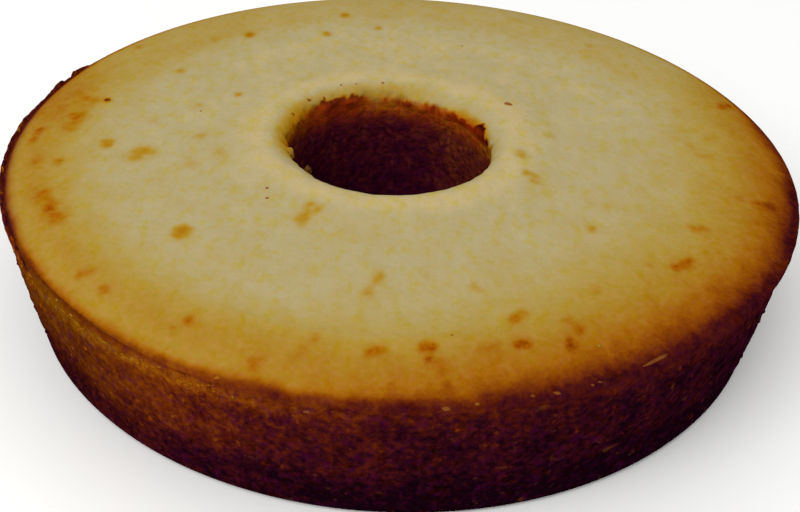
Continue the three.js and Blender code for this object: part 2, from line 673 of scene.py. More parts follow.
TOP_BLISTERS = (
    Mark((182, 232), 5.6, 0.38),
    Mark((135, 155), 7.0, 0.23, (146, 152)),
    Mark((107, 143), 4.4, 0.36),
    Mark((108, 100), 2.2, 0.5),
    Mark((238, 94), 3.0, 0.30),
    Mark((220, 153), 6.5, 0.12),
    Mark((199, 135), 6.0, 0.10),
    Mark((191, 163), 6.0, 0.10),
    Mark((302, 218), 5.2, 0.28),
    Mark((311, 205), 3.4, 0.26, (317, 208)),
    Mark((380, 276), 4.4, 0.13, (369, 293)),
    Mark((425, 273), 4.2, 0.13),
    Mark((476, 287), 4.2, 0.14),
    Mark((522, 154), 5.0, 0.20),
    Mark((528, 174), 3.8, 0.30, (535, 179)),
    Mark((552, 136), 4.0, 0.10),
    Mark((592, 229), 4.0, 0.16),
    Mark((595, 289), 3.2, 0.22),
    Mark((514, 320), 3.4, 0.33, (524, 314)),
    Mark((315, 337), 3.4, 0.22),
    Mark((180, 71), 3.2, 0.22),
    Mark((250, 35), 3.6, 0.38),
    Mark((214, 40), 3.2, 0.16),
    Mark((327, 34), 3.4, 0.40),
    Mark((345, 15), 3.4, 0.36),
    Mark((378, 28), 2.8, 0.24),
    Mark((591, 46), 3.0, 0.16),
    Mark((197, 106), 5.0, 0.14),
    Mark((153, 121), 5.0, 0.09),
    Mark((602, 205), 5.5, 0.08, (592, 201)),
)
SHOULDER_BLISTERS = (
    Mark((79, 116), 7.0, 0.24, (71, 127)),
    Mark((66, 108), 14, 0.12, (84, 96)),
    Mark((93, 100), 7.0, 0.20),
    Mark((39, 131), 4.0, 0.27),
    Mark((33, 140), 3.4, 0.24),
    Mark((58, 162), 3.6, 0.28),
    Mark((37, 160), 4.6, 0.18),
    Mark((51, 207), 6.0, 0.30, (59, 217)),
    Mark((43, 195), 5.0, 0.28),
    Mark((30, 178), 10, 0.05, (38, 190)),
    Mark((138, 47), 3.4, 0.28),
    Mark((78, 276), 3.2, 0.16, (92, 271)),
    Mark((104, 289), 3.8, 0.26),
    Mark((189, 321), 3.6, 0.26),
    Mark((172, 331), 3.0, 0.17),
    Mark((253, 364), 5.0, 0.15),
    Mark((372, 351), 3.6, 0.27, (382, 350)),
    Mark((422, 347), 3.0, 0.40, (433, 346)),
    Mark((429, 361), 2.6, 0.24),
    Mark((444, 366), 4.6, 0.10, (447, 388)),
    Mark((482, 349), 3.0, 0.11, (497, 347)),
    Mark((303, 350), 5.0, 0.08),
    Mark((518, 344), 3.0, 0.29, (528, 343)),
    Mark((570, 344), 3.4, 0.28),
    Mark((567, 319), 3.0, 0.20),
    Mark((580, 329), 3.0, 0.22),
    Mark((676, 267), 3.4, 0.29, (690, 261)),
    Mark((650, 265), 2.6, 0.16),
    Mark((692, 228), 3.8, 0.26, (704, 230)),
    Mark((691, 146), 3.2, 0.18),
    Mark((697, 155), 2.8, 0.12, (710, 157)),
    Mark((709, 139), 4.4, 0.10),
    Mark((677, 111), 4.4, 0.10),
    Mark((720, 107), 3.4, 0.24, (727, 105)),
    Mark((694, 102), 3.0, 0.14),
    Mark((741, 199), 3.6, 0.13, (770, 207)),
)


@dataclass(frozen=True)
class Fleck:
    """A crumb or flake placed by pixels: sizes in millimetres, and its height as a share of its width."""

    start: Pixel
    length: float
    width: float
    tone: float
    # share of the flake colour, which holds painted shade
    flake: float = 0.0
    end: Pixel | None = None
    stand: float = 0.5


PALE_FLECKS = (
    Fleck((307, 412), 1.8, 1.0, 0.62, 0.7),
    Fleck((446, 409), 2.4, 1.0, 0.62, 0.75),
    Fleck((477, 404), 1.6, 0.8, 0.62, 0.6),
    Fleck((557, 393), 1.8, 0.8, 0.68, 0.55),
    Fleck((593, 385), 1.0, 0.6, 0.7, 0.6),
    Fleck((600, 382), 1.0, 0.6, 0.68, 0.6),
    Fleck((217, 378), 1.5, 0.8, 0.56, 0.3),
    Fleck((533, 396), 1.2, 0.7, 0.68, 0.5),
    Fleck((599, 346), 0.8, 0.7, 0.24),
    Fleck((641, 368), 0, 0.9, 0.7, 0.75, (668, 354)),
    Fleck((655, 361), 0, 0.9, 0.66, 1.0, (667, 354.5)),
    Fleck((57, 300), 1.2, 0.8, 0.54),
    Fleck((71, 315), 1.4, 0.9, 0.5, 0.4),
    Fleck((81, 329), 1.2, 0.9, 0.56, 0.2),
    Fleck((159, 367), 1.3, 0.8, 0.54, 0.2),
    Fleck((73, 348), 1.1, 0.8, 0.68, 0.3),
)
MOUTH_CRUMBS = (
    Fleck((289, 151.5), 3.0, 2.2, 0.4, 0.1, None, 1.2),
    Fleck((290.5, 156), 2.6, 2.0, 0.46, 0.3, None, 1.1),
    Fleck((306.5, 168.5), 2.8, 2.2, 0.44, 0.6, None, 1.2),
    Fleck((309, 171.5), 2.2, 1.6, 0.55, 0.7, None, 1.1),
)
DARK_SPECKS = (
    Fleck((108, 100), 2.2, 1.4, 0.72),
    Fleck((201, 111), 0.8, 0.7, 0.52),
    Fleck((267, 188), 1.0, 0.8, 0.58),
    Fleck((267, 198), 1.0, 0.8, 0.56),
    Fleck((462, 46), 0.8, 0.7, 0.52),
    Fleck((504, 103.5), 0, 2.0, 0.58, 0.0, (512, 105)),
    Fleck((341, 85), 0.9, 0.7, 0.54),
    Fleck((356, 84), 0.8, 0.6, 0.5),
    Fleck((383, 83), 1.0, 0.8, 0.54),
    Fleck((309, 100), 1.4, 1.1, 0.55),
    Fleck((293, 114), 1.3, 1.0, 0.55),
    Fleck((324, 98), 1.2, 0.9, 0.54),
    Fleck((452, 335), 0.7, 0.6, 0.5),
)


@dataclass
class Skin:
    """All points of the turned cake as arrays, for its relief and browning."""

    points: np.ndarray
    reach: np.ndarray
    zone: np.ndarray

    def __post_init__(self) -> None:
        """Works out heights and angles, and puts every point on its circle."""
        self.height = self.points[:, 2].copy()
        turn = np.arctan2(self.points[:, 1], self.points[:, 0])
        self.angle = np.degrees(turn) % FULL_TURN
        self.outward = np.stack([np.cos(turn), np.sin(turn)], axis=1)
        self.points[:, :2] = self.outward * self.reach[:, None]

    def within(self, *zones: Zone) -> np.ndarray:
        """Says which points lie in any of the zones."""
        return np.isin(self.zone, [zone.value for zone in zones])

    def lumps(self, chosen: np.ndarray, layers: tuple[Lumps, ...]) -> np.ndarray:
        """Sums layers of noise at some of the points.

        Args:
            chosen: Which points.
            layers: The layers.

        Returns:
            One value for each point, 0 at those that aren't chosen.
        """
        values = np.zeros(len(self.points))
        values[chosen] = summed(layers, self.points[chosen])
        return values


@dataclass
class Bake:
    """What browning goes by at every point of a shaped cake. Reach and height are in millimetres."""

    cake: "RingCake"
    skin: Skin
    wandering: tuple[Lumps, ...] = (
        Lumps(1.6, 22 * MM, 1.1),
        Lumps(1.0, 6 * MM, 7.2),
        Lumps(0.8, 2.5 * MM, 4.9),
    )
    clumping: tuple[Lumps, ...] = (Lumps(1.0, 4.2 * MM, 8.8), Lumps(0.6, 1.6 * MM, 0.7))

    def __post_init__(self) -> None:
        """Works out the places of all points, and the noises by which browning wanders and clumps."""
        self.reach = self.skin.reach / MM
        self.height = self.skin.height / MM
        self.run = self.cake.lip_run(self.skin)
        self.wander = summed(self.wandering, self.skin.points)
        self.clumps = summed(self.clumping, self.skin.points)

    def near(self, span: AngleSpan) -> np.ndarray:
        """Gives the share of every point in a part of the way round."""
        return span.share(self.skin.angle)


# Browning is a tone from 0, cream, to 1, nearly black
TOP_TONES = (0.08, 0.12, 0.2, 0.3, 0.4, 0.47, 0.55, 0.63, 0.72, 0.8, 0.88)


@dataclass(frozen=True)
class TopBrowning:
    """Browning of the top by its reach, least at the back and most at the right, with painted shade that
    darkens it towards the front and lightens it towards the back.
    """

    plain: Curve = Curve((70, 84, 94, 102, 106, 112, 115, 117, 118.5, 121, 124), TOP_TONES)
    right: Curve = Curve((62, 76, 87, 95.5, 101, 106.5, 110, 113.8, 116.8, 118.6, 120), TOP_TONES)
    left: Curve = Curve(
        (70, 88, 96, 100, 104, 107, 110, 114, 116, 117.5, 119, 120.5),
        (0.08, 0.11, 0.18, 0.23, 0.3, 0.36, 0.39, 0.35, 0.4, 0.52, 0.66, 0.76),
    )
    at_right: AngleSpan = AngleSpan(325, 55, 40)
    at_left: AngleSpan = AngleSpan(218, 54, 24)
    earlier: float = 0.9  # all tones but those of the left start this much further in
    left_wander: float = 0.6
    later: tuple[tuple[AngleSpan, float], ...] = (  # how much further out tones start in some places
        (AngleSpan(95, 70, 50), 3.0),
        (AngleSpan(166, 26, 22), 2.2),
        (AngleSpan(268, 16, 10), 2.1),
        (AngleSpan(311, 16, 14), -1.2),
        (AngleSpan(25, 14, 10), 4.0),
        (AngleSpan(244, 18, 14), 0.9),
    )
    later_ends: Ramp = Ramp(119.5, 116.5)
    fold_gain: Ramp = Ramp(98, 102.5, 0.045)
    fold_wander: float = 0.5
    at_back: AngleSpan = AngleSpan(92, 74, 18)
    back_inside: Ramp = Ramp(121, 113)
    back_tone: float = 0.17  # the back browns hardly further than this
    at_back_left: AngleSpan = AngleSpan(138, 30, 24)
    back_left_gain: Ramp = Ramp(86, 96, 0.06)
    crest_loss: Bell = Bell(5, 40, 0.07)
    # painted shade: darker towards the front, lighter towards the back
    front_back_painted_shade: Ramp = Ramp(95, 70, 0.04)

    def tone(self, bake: Bake) -> np.ndarray:
        """Browns the top from the middle outward.

        Args:
            bake: The points.

        Returns:
            The tone that each point has if it is on the top.
        """
        shift = sum(distance * bake.near(span) for span, distance in self.later)
        shift *= self.later_ends.at(bake.reach)
        places = bake.reach + self.earlier + bake.wander - shift
        top = self.plain.at(places)
        top += (self.right.at(places) - top) * bake.near(self.at_right)
        left_places = bake.reach + self.left_wander * bake.wander - shift
        top += (self.left.at(left_places) - top) * bake.near(self.at_left)
        fold = self.fold_gain.at(bake.reach + self.fold_wander * bake.wander)
        top += bake.near(bake.cake.fold) * fold
        back = bake.near(self.at_back) * self.back_inside.at(bake.reach)
        top -= back * np.clip(top - self.back_tone, 0, 1)
        top += bake.near(self.at_back_left) * self.back_left_gain.at(bake.reach)
        top -= self.crest_loss.at(bake.reach)
        # painted shade from front to back
        return top - self.front_back_painted_shade.at(bake.reach) * bake.skin.points[:, 1] / bake.cake.rim_radius


@dataclass(frozen=True)
class SideBrowning:
    """Browning of the side by its height, most at its foot; painted shade also darkens it at the right, and
    painted light lightens it at the left.
    """

    plain: Curve = Curve(
        (0, 6, 12, 18, 30, 36, 39.5, 43), (1.0, 0.98, 0.955, 0.9, 0.895, 0.865, 0.84, 0.82)
    )
    # painted shade darkens the right of the side and painted light lightens its left
    at_right: AngleSpan = AngleSpan(316, 66, 50)
    right_painted_shade: Ramp = Ramp(44, 35, 0.05)
    at_left: AngleSpan = AngleSpan(222, 44, 34)
    left_painted_light: float = 0.07
    upper_left_painted_light: Ramp = Ramp(10, 28, 0.07)
    under_groove: AngleSpan = AngleSpan(240, 34, 18)
    band_loss: Bell = Bell(3, -4, 0.07)  # from the height of the groove
    clouds: tuple[Lumps, ...] = (Lumps(0.04, 9 * MM, 2.9),)
    wander: float = 0.015
    dull_left: AngleSpan = AngleSpan(210, 36, 26)

    def tone(self, bake: Bake) -> np.ndarray:
        """Browns the side from the rim downward.

        Args:
            bake: The points.

        Returns:
            The tone that each point has if it is on the side.
        """
        side = self.plain.at(bake.height)
        # painted shade at the right, painted light at the left
        side += bake.near(self.at_right) * self.right_painted_shade.at(bake.height)
        side -= bake.near(self.at_left) * (self.left_painted_light + self.upper_left_painted_light.at(bake.height))
        band = self.band_loss.at(bake.height - bake.cake.groove_height / MM)
        side -= bake.near(self.under_groove) * band * (1 + bake.clumps)
        outer = bake.skin.within(Zone.SIDE, Zone.RIM)
        return side + bake.skin.lumps(outer, self.clouds) + self.wander * bake.wander

    def olive(self, bake: Bake) -> np.ndarray:
        """Gives the share by which the side is duller at the left."""
        return np.where(bake.skin.within(Zone.SIDE, Zone.RIM), bake.near(self.dull_left), 0)


@dataclass(frozen=True)
class EdgeBrowning:
    """Browning of the rim's creases, and of the crust that scorched at the left."""

    crease_gain: Bell = Bell(0.9, 0, 0.14)  # from the crease's reach
    crease_above: Ramp = Ramp(39, 40)
    groove_outside: Ramp = Ramp(117.5, 119)
    groove_near: Bell = Bell(0.55)  # from the groove's line
    groove_tone: float = 0.75
    scorched: AngleSpan = AngleSpan(188, 27, 14)
    scorch_outside: Ramp = Ramp(117.4, 119.4)
    scorch_wander: float = 1 / 3
    scorch_above: Ramp = Ramp(39, 42)
    scorch_tone: float = 0.82
    purple_near: Bell = Bell(1.4, 117.6, 0.8)

    def over(self, bake: Bake, tone: np.ndarray) -> np.ndarray:
        """Darkens the edge.

        Args:
            bake: The points.
            tone: Their tones so far.

        Returns:
            Their tones with the edge.
        """
        cake = bake.cake
        crease = self.crease_gain.at(bake.reach - (cake.rim_radius - cake.crease_inset) / MM)
        tone = tone + bake.near(cake.flap) * crease * self.crease_above.at(bake.height)
        groove = bake.near(cake.groove) * self.groove_outside.at(bake.reach)
        groove *= self.groove_near.at(bake.height - cake.groove_line(bake.skin.angle) / MM)
        tone += (self.groove_tone - tone) * groove
        scorch = self.scorch_outside.at(bake.reach + self.scorch_wander * bake.wander)
        scorch *= self.scorch_above.at(bake.height) * bake.near(self.scorched)
        return tone + (self.scorch_tone - tone) * scorch

    def purple(self, bake: Bake) -> np.ndarray:
        """Gives the share of dark purple crust along the scorched edge of the top."""
        share = bake.near(self.scorched) * self.purple_near.at(bake.reach)
        return np.where(bake.skin.within(Zone.TOP), share, 0)


@dataclass(frozen=True)
class HoleBrowning:
    """Browning of the lip by the share of the way down it, and of the hole's wall by its height."""

    wall: Curve = Curve((0, 20, 32, 37, 40, 42.5, 45), (0.92, 0.88, 0.86, 0.84, 0.78, 0.7, 0.58))
    behind: AngleSpan = AngleSpan(112, 55, 35)
    stained: AngleSpan = AngleSpan(173, 42, 26)
    lightly_stained: AngleSpan = AngleSpan(30, 28, 16)
    clumped: AngleSpan = AngleSpan(122, 20, 10)
    spiked: AngleSpan = AngleSpan(21, 8, 6)
    raised: AngleSpan = AngleSpan(58, 18, 10)
    at_right: AngleSpan = AngleSpan(30, 50, 36)
    torn_back: AngleSpan = AngleSpan(82, 75, 20)
    torn_middle: AngleSpan = AngleSpan(92, 26, 16)
    lip_clumps: float = 0.13
    lip_tone: float = 0.02
    lip_gain: Ramp = Ramp(0.1, 0.6, 0.1)
    behind_gain: Ramp = Ramp(0.05, 0.55, 0.14)
    behind_edge_gain: Ramp = Ramp(0.6, 0.95, 0.1)
    crust_start: float = 0.93
    clumped_lift: float = 0.22
    raised_lift: float = 0.09
    crust_edge: Ramp = Ramp(-0.05, 0.06)  # from the crust's start
    crust_tone: float = 0.58
    burnt_clumps: Ramp = Ramp(0.15, 0.5)
    burnt_gain: float = 0.2
    wall_clumps: float = 0.07
    clumped_wall_gain: Ramp = Ramp(38, 44, 0.08)
    torn_wall_loss: Ramp = Ramp(38, 44, 0.14)
    # painted light: the right wall of the hole is lighter
    right_wall_painted_light: float = 0.1
    stain_outside: Ramp = Ramp(48, 38, 0.05)
    outer_stain: Ramp = Ramp(0.1, 0.6, 0.17)
    inner_stain: Ramp = Ramp(0.55, 1.05, 0.55)
    # painted shade: purple grows lower in the hole, less at its right where painted light falls
    painted_shade_below: Ramp = Ramp(43, 36)
    right_painted_shade_loss: float = 0.3
    orange_above: Ramp = Ramp(35, 43, 0.6)
    orange_below: Ramp = Ramp(47.5, 45.8)
    middle_orange_loss: float = 0.3
    clumped_orange_loss: float = 0.1

    def lip(self, bake: Bake) -> np.ndarray:
        """Browns the lip down to the torn crust at the mouth of the hole.

        Args:
            bake: The points.

        Returns:
            The tone that each point has if it is on the lip.
        """
        run = bake.run + self.lip_clumps * bake.clumps
        clumped = np.maximum(bake.near(self.clumped), bake.near(self.spiked))
        behind = self.behind_gain.at(run) + self.behind_edge_gain.at(run)
        lip = self.lip_tone + self.lip_gain.at(run) + bake.near(self.behind) * behind
        start = self.crust_start - self.clumped_lift * clumped - self.raised_lift * bake.near(self.raised)
        crust = self.crust_edge.at(run - start) * (1 - bake.near(self.stained))
        burnt = np.maximum(clumped, self.burnt_clumps.at(bake.clumps))
        return lip + (self.crust_tone + self.burnt_gain * burnt - lip) * crust

    def wall_tone(self, bake: Bake) -> np.ndarray:
        """Browns the wall of the hole, with painted light on its right side.

        Args:
            bake: The points.

        Returns:
            The tone that each point has if it is on the wall.
        """
        wall = self.wall.at(bake.height) + self.wall_clumps * bake.clumps
        wall += bake.near(self.clumped) * self.clumped_wall_gain.at(bake.height)
        wall -= bake.near(self.torn_middle) * self.torn_wall_loss.at(bake.height)
        # painted light on the right wall
        return wall - self.right_wall_painted_light * bake.near(self.at_right)

    def stain(self, bake: Bake) -> np.ndarray:
        """Makes the soft yellow stain of the lip at the left of the hole, and a little at its right.

        Args:
            bake: The points.

        Returns:
            What the stain adds to each point's blisters.
        """
        outer = self.stain_outside.at(bake.reach) + self.outer_stain.at(bake.run)
        inner = self.inner_stain.at(bake.run)
        gain = (outer + inner) * bake.near(self.stained) + inner * bake.near(self.lightly_stained)
        return np.where(bake.skin.within(Zone.TOP, Zone.LIP), gain, 0)

    def purple(self, bake: Bake) -> np.ndarray:
        """Gives the share of dark purple painted shade low in the hole, less at its right where painted
        light falls.
        """
        share = self.painted_shade_below.at(bake.height) * (1 - self.right_painted_shade_loss * bake.near(self.at_right))
        return np.where(bake.skin.within(Zone.WALL), share, 0)

    def orange(self, bake: Bake) -> np.ndarray:
        """Bares orange crumb below the torn crust at the back of the hole.

        Args:
            bake: The points.

        Returns:
            The share of bare crumb at each point.
        """
        share = bake.near(self.torn_back) * self.orange_above.at(bake.height)
        share *= self.orange_below.at(bake.height)
        share *= 1 - self.middle_orange_loss * bake.near(self.torn_middle)
        share *= 1 - self.clumped_orange_loss * bake.near(self.clumped)
        return np.where(bake.skin.within(Zone.LIP, Zone.WALL), share, 0)


@dataclass(frozen=True)
class Browning:
    """Browning of the whole cake, zone by zone."""

    top: TopBrowning = TopBrowning()
    side: SideBrowning = SideBrowning()
    edge: EdgeBrowning = EdgeBrowning()
    hole: HoleBrowning = HoleBrowning()
    burnt: Ramp = Ramp(0.6, 0.78)
    rim_crumb: float = 0.5
    top_crumb: float = 0.25

    def tones(self, bake: Bake) -> np.ndarray:
        """Browns every point by its zone.

        Args:
            bake: The points.

        Returns:
            Their tones.
        """
        top = self.top.tone(bake)
        side = self.side.tone(bake)
        rim = side + (top - side) * bake.cake.rim_share(bake.skin)
        zones = {
            Zone.BASE: side,
            Zone.SIDE: self.edge.over(bake, side),
            Zone.RIM: self.edge.over(bake, rim),
            Zone.TOP: self.edge.over(bake, top),
            Zone.LIP: self.hole.lip(bake),
            Zone.WALL: self.hole.wall_tone(bake),
        }
        return np.select([bake.skin.within(zone) for zone in zones], list(zones.values()))

    def crumb(self, bake: Bake, tones: np.ndarray) -> np.ndarray:
        """Makes the side and the hole crumbly, and the rim and the top where they burnt.

        Args:
            bake: The points.
            tones: Their tones.

        Returns:
            How crumbly each point is, from 0 to 1.
        """
        skin = bake.skin
        burnt = self.burnt.at(tones)
        rim = np.maximum(1 - bake.cake.rim_share(skin), self.rim_crumb * burnt)
        crumb = np.where(skin.within(Zone.RIM), rim, skin.within(Zone.SIDE, Zone.WALL, Zone.BASE))
        return np.where(skin.within(Zone.TOP), self.top_crumb * burnt, crumb)

    def values(self, bake: Bake) -> dict[Held, np.ndarray]:
        """Works out what the crust's finish reads, apart from the blisters of the top.

        Args:
            bake: The points.

        Returns:
            Each value at every point.
        """
        tones = self.tones(bake)
        return {
            Held.BROWNING: tones,
            Held.BLISTER: self.hole.stain(bake),
            Held.CRUMB: self.crumb(bake, tones),
            Held.OLIVE: self.side.olive(bake),
            Held.TORN: self.hole.orange(bake),
            # painted purple shade in the hole, and the purple of the scorched edge
            Held.SHADE_AND_SCORCH: self.hole.purple(bake) + self.edge.purple(bake),
        }


@dataclass(frozen=True)
class Blisters:
    """Browned blisters and streaks of the top, with ragged edges."""

    marks: tuple[Mark, ...] = TOP_BLISTERS + SHOULDER_BLISTERS
    squeeze: tuple[float, float, float] = (1, 0.75, 1)  # draws them out from front to back
    spread: float = 0.45  # of a mark's width
    strength: float = 1.1
    ragged: tuple[Lumps, ...] = (Lumps(0.8, 3.4 * MM, 3.3), Lumps(0.55, 1.7 * MM, 6.1))
    strongest: float = 2.0

    def gain(self, skin: Skin, surface: BVHTree, camera: PhotoCamera) -> np.ndarray:
        """Works out how much more the marks have browned, where the camera sees them.

        Args:
            skin: The points of the shaped cake.
            surface: Its faces, to find what a pixel sees.
            camera: The camera whose pixels place the marks.

        Returns:
            What each point's browning gains.
        """
        gain = np.zeros(len(skin.points))
        squeeze = np.array(self.squeeze)
        ragged = np.clip(self.strength + summed(self.ragged, skin.points), 0, self.strongest)
        for mark in self.marks:
            pixels = (mark.start, mark.end or mark.start)
            start, end = (np.array(camera.hit(surface, pixel)[0]) for pixel in pixels)
            run = (end - start) * squeeze
            offset = (skin.points - start) * squeeze
            along = np.clip(offset @ run / max(float(run @ run), LEAST_SQUARE), 0, 1)
            away = np.linalg.norm(offset - along[:, None] * run, axis=1) / MM
            gain += mark.tone * Bell(self.spread * mark.width).at(away) * ragged
        return gain


class CrustPiece:
    """A piece of the cake, all crust and crumb, which rides on the cake's one body."""

    @staticmethod
    def finished(form: bmesh.types.BMesh, name: str, values: dict[Held, np.ndarray]) -> bpy.types.Object:
        """Turns a form into a smooth object in the scene.

        Args:
            form: The form, which is freed.
            name: The object's name.
            values: What each point holds for the crust's finish.

        Returns:
            The object.
        """
        mesh = bpy.data.meshes.new(name)
        form.to_mesh(mesh)
        form.free()
        mesh.shade_smooth()
        for held, items in values.items():
            layer = mesh.attributes.new(held.value, "FLOAT", "POINT")
            layer.data.foreach_set("value", items.astype(np.float32))
        piece = bpy.data.objects.new(name, mesh)
        bpy.context.scene.collection.objects.link(piece)
        return piece

    def dress(self, piece: bpy.types.Object, crust: bpy.types.Material) -> None:
        """Gives a piece its finish and its body, and reports it.

        Args:
            piece: The piece as it was built.
            crust: The crust's material.
        """
        piece.data.materials.append(crust)
        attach(piece, "root")
        log.info("%s: %d faces", piece.name, len(piece.data.polygons))


@dataclass
class RingCake(CrustPiece):
    """The cake itself: its turned form, relief and browning."""

    rim_radius: float = 120 * MM
    rim_height: float = 43 * MM
    base_radius: float = 113 * MM
    cake_height: float = 50.5 * MM
    hole_radius: float = 31.5 * MM
    hole_base_radius: float = 35.5 * MM
    hole_shift: Vector = Vector((-3.5, -1.9)) * MM
    base_round: float = 3.5 * MM
    hole_base_round: float = 1.5 * MM
    side_belly: float = 0.5 * MM
    rim_round: float = 3.6 * MM
    rim_turn: float = 0.8 * MM
    crease_inset: float = 1.6 * MM
    shoulder_radius: float = 97 * MM
    shoulder_height: float = 47.8 * MM
    valley_radius: float = 52 * MM
    valley_height: float = 48.9 * MM
    lip_radius: float = 39 * MM
    lip_round: float = 1.5 * MM
    neck_height: float = 45 * MM
    broad_swell: float = 0.5 * MM
    top_lumps: tuple[Lumps, ...] = (
        Lumps(0.45 * MM, 17 * MM),
        Lumps(0.14 * MM, 7 * MM, 3.7),
        Lumps(0.06 * MM, 3 * MM, 8.1),
    )
    fold: AngleSpan = AngleSpan(272, 45, 25)
    fold_rise: Bell = Bell(1.6 * MM, 100 * MM, 0.3 * MM)
    side_crumb: tuple[Lumps, ...] = (
        Lumps(0.6 * MM, 9 * MM, folded=True),
        Lumps(0.35 * MM, 3.6 * MM, 5.3),
        Lumps(0.2 * MM, 1.9 * MM, 9.4),
    )
    above_foot: Ramp = Ramp(0, 5 * MM)
    rim_smoothness: float = 0.9
    bulge: AngleSpan = AngleSpan(342, 48, 40)
    bulge_depth: float = 1 * MM
    rim_ragged: tuple[Lumps, ...] = (Lumps(0.5, 6 * MM, 2.2), Lumps(0.5, 2.4 * MM, 6.6))
    flap: AngleSpan = AngleSpan(184, 34, 14)
    flap_rise: Bell = Bell(0.7 * MM, -0.6 * MM, 0.5 * MM)  # from the rim's radius
    crease_depth: Bell = Bell(0.7 * MM, 0, 0.6 * MM)  # from the crease's radius
    groove: AngleSpan = AngleSpan(231, 28, 14)
    groove_height: float = 42.1 * MM
    groove_slope: float = -0.075 * MM
    groove_depth: Bell = Bell(0.5 * MM, 0, 0.7 * MM)  # from the groove's line
    groove_band: Bell = Bell(1.2 * MM, -2 * MM, 0.5 * MM)  # crumbs stand out below that line
    band_start: float = 0.6
    tear_count: int = 13
    tear_width: tuple[float, float] = (4 * MM, 11 * MM)
    tear_depth: tuple[float, float] = (0.3 * MM, 1.2 * MM)
    lobes: tuple[tuple[AngleSpan, float], ...] = (
        (AngleSpan(48, 44, 24), 2 * MM),
        (AngleSpan(206, 30, 18), 2 * MM),
        (AngleSpan(6, 24, 16), 1 * MM),
    )
    wall_crags: tuple[Lumps, ...] = (
        Lumps(1.6 * MM, 5.5 * MM, folded=True),
        Lumps(0.6 * MM, 2.1 * MM, 4.4),
    )
    mouth_crust: AngleSpan = AngleSpan(95, 88, 25)
    ledge_depth: Bell = Bell(0.12, 0.9, 1.1 * MM)  # by the run of the lip
    ledge_rise: float = 0.5
    mouth_flakes: tuple[Lumps, ...] = (Lumps(1.2, 4.2 * MM, 7.9), Lumps(0.8, 1.6 * MM, 1.9))
    flake_start: float = 0.2
    largest_flake: float = 1.2
    turns: int = 160
    cuts: int = 3
    surface: BVHTree | None = None
    face_tones: np.ndarray | None = None

    def stretches(self) -> list[Stretch]:
        """Lays out the profile.

        Returns:
            Its runs, from the base round the outside to the hole.
        """
        base_inner = Vector((self.hole_base_radius + self.hole_base_round, 0))
        base_outer = Vector((self.base_radius - self.base_round, 0))
        base_corner = Vector((self.base_radius, 0))
        foot = Vector((self.base_radius, self.base_round))
        rim_foot = Vector((self.rim_radius - self.rim_turn, self.rim_height - self.rim_round))
        belly = (foot + rim_foot) / 2 + Vector((2 * self.side_belly, 0))
        rim_turn = Vector((self.rim_radius + self.rim_turn, self.rim_height - self.rim_round / 3))
        rim_top = Vector((self.rim_radius - self.crease_inset / 2, self.rim_height))
        crease = Vector((self.rim_radius - self.crease_inset, self.rim_height + self.crease_inset / 4))
        shoulder = Vector((self.shoulder_radius, self.shoulder_height))
        roll = Vector(((crease.x + shoulder.x) / 2, self.shoulder_height))
        valley = Vector((self.valley_radius, self.valley_height))
        lip_foot = Vector((self.lip_radius + self.lip_round, self.cake_height))
        lip = Vector((self.lip_radius, self.cake_height))
        lip_turn = Vector((self.hole_radius, self.cake_height))
        neck = Vector((self.hole_radius, self.neck_height))
        hole_foot = Vector((self.hole_base_radius, self.hole_base_round))
        return [
            Stretch(Zone.BASE, 3, base_inner, base_outer),
            Stretch(Zone.BASE, 4, base_outer, foot, base_corner),
            Stretch(Zone.SIDE, 35, foot, rim_foot, belly),
            Stretch(Zone.RIM, 12, rim_foot, rim_top, rim_turn),
            Stretch(Zone.TOP, 4, rim_top, crease),
            Stretch(Zone.TOP, 20, crease, shoulder, roll),
            Stretch(Zone.TOP, 33, shoulder, valley),
            Stretch(Zone.TOP, 10, valley, lip, lip_foot),
            Stretch(Zone.LIP, 12, lip, neck, lip_turn),
            Stretch(Zone.WALL, 20, neck, hole_foot),
            Stretch(Zone.BASE, 1, hole_foot, base_inner),
        ]

    def turned(self) -> bmesh.types.BMesh:
        """Spins the profile into a closed ring.

        Returns:
            The ring, whose points know their zone and radius.
        """
        form = bmesh.new()
        zone_layer = form.verts.layers.int.new("zone")
        reach_layer = form.verts.layers.float.new("reach")
        outline = []
        for stretch in self.stretches():
            for point in stretch.points():
                vertex = form.verts.new((point.x, 0, point.y))
                vertex[zone_layer] = stretch.zone.value
                vertex[reach_layer] = point.x
                outline.append(vertex)
        spun(form, outline, FULL_TURN, self.turns)
        rings = [edge for edge in form.edges if self._runs_round(edge, reach_layer)]
        bmesh.ops.subdivide_edges(form, edges=rings, cuts=self.cuts, use_grid_fill=True)
        bmesh.ops.recalc_face_normals(form, faces=form.faces)
        return form

    @staticmethod
    def _runs_round(edge: bmesh.types.BMEdge, reach_layer: bmesh.types.BMLayerItem) -> bool:
        """Tells edges that run round the cake from those along its profile.

        Args:
            edge: The edge.
            reach_layer: Where points keep their radius.

        Returns:
            Whether both ends have the same height and radius.
        """
        first, last = edge.verts
        level = abs(first.co.z - last.co.z) < SAME_PLACE
        return level and abs(first[reach_layer] - last[reach_layer]) < SAME_PLACE

    def tears(self) -> list[tuple[AngleSpan, float]]:
        """Spreads the torn places round the mouth of the hole.

        Returns:
            The part of the way round and the depth of each.
        """
        places = []
        for item in range(self.tear_count):
            width = self._between(self.tear_width, spread_share(2 * item + 1))
            spread = math.degrees(width / self.hole_radius / 2)
            angle = FULL_TURN * (item + spread_share(item)) / self.tear_count
            depth = self._between(self.tear_depth, spread_share(3 * item + 2))
            places.append((AngleSpan(angle, spread, spread), depth))
        return places

    @staticmethod
    def _between(limits: tuple[float, float], share: float) -> float:
        """Gives the value at a share of the way between two limits."""
        return limits[0] + (limits[1] - limits[0]) * share

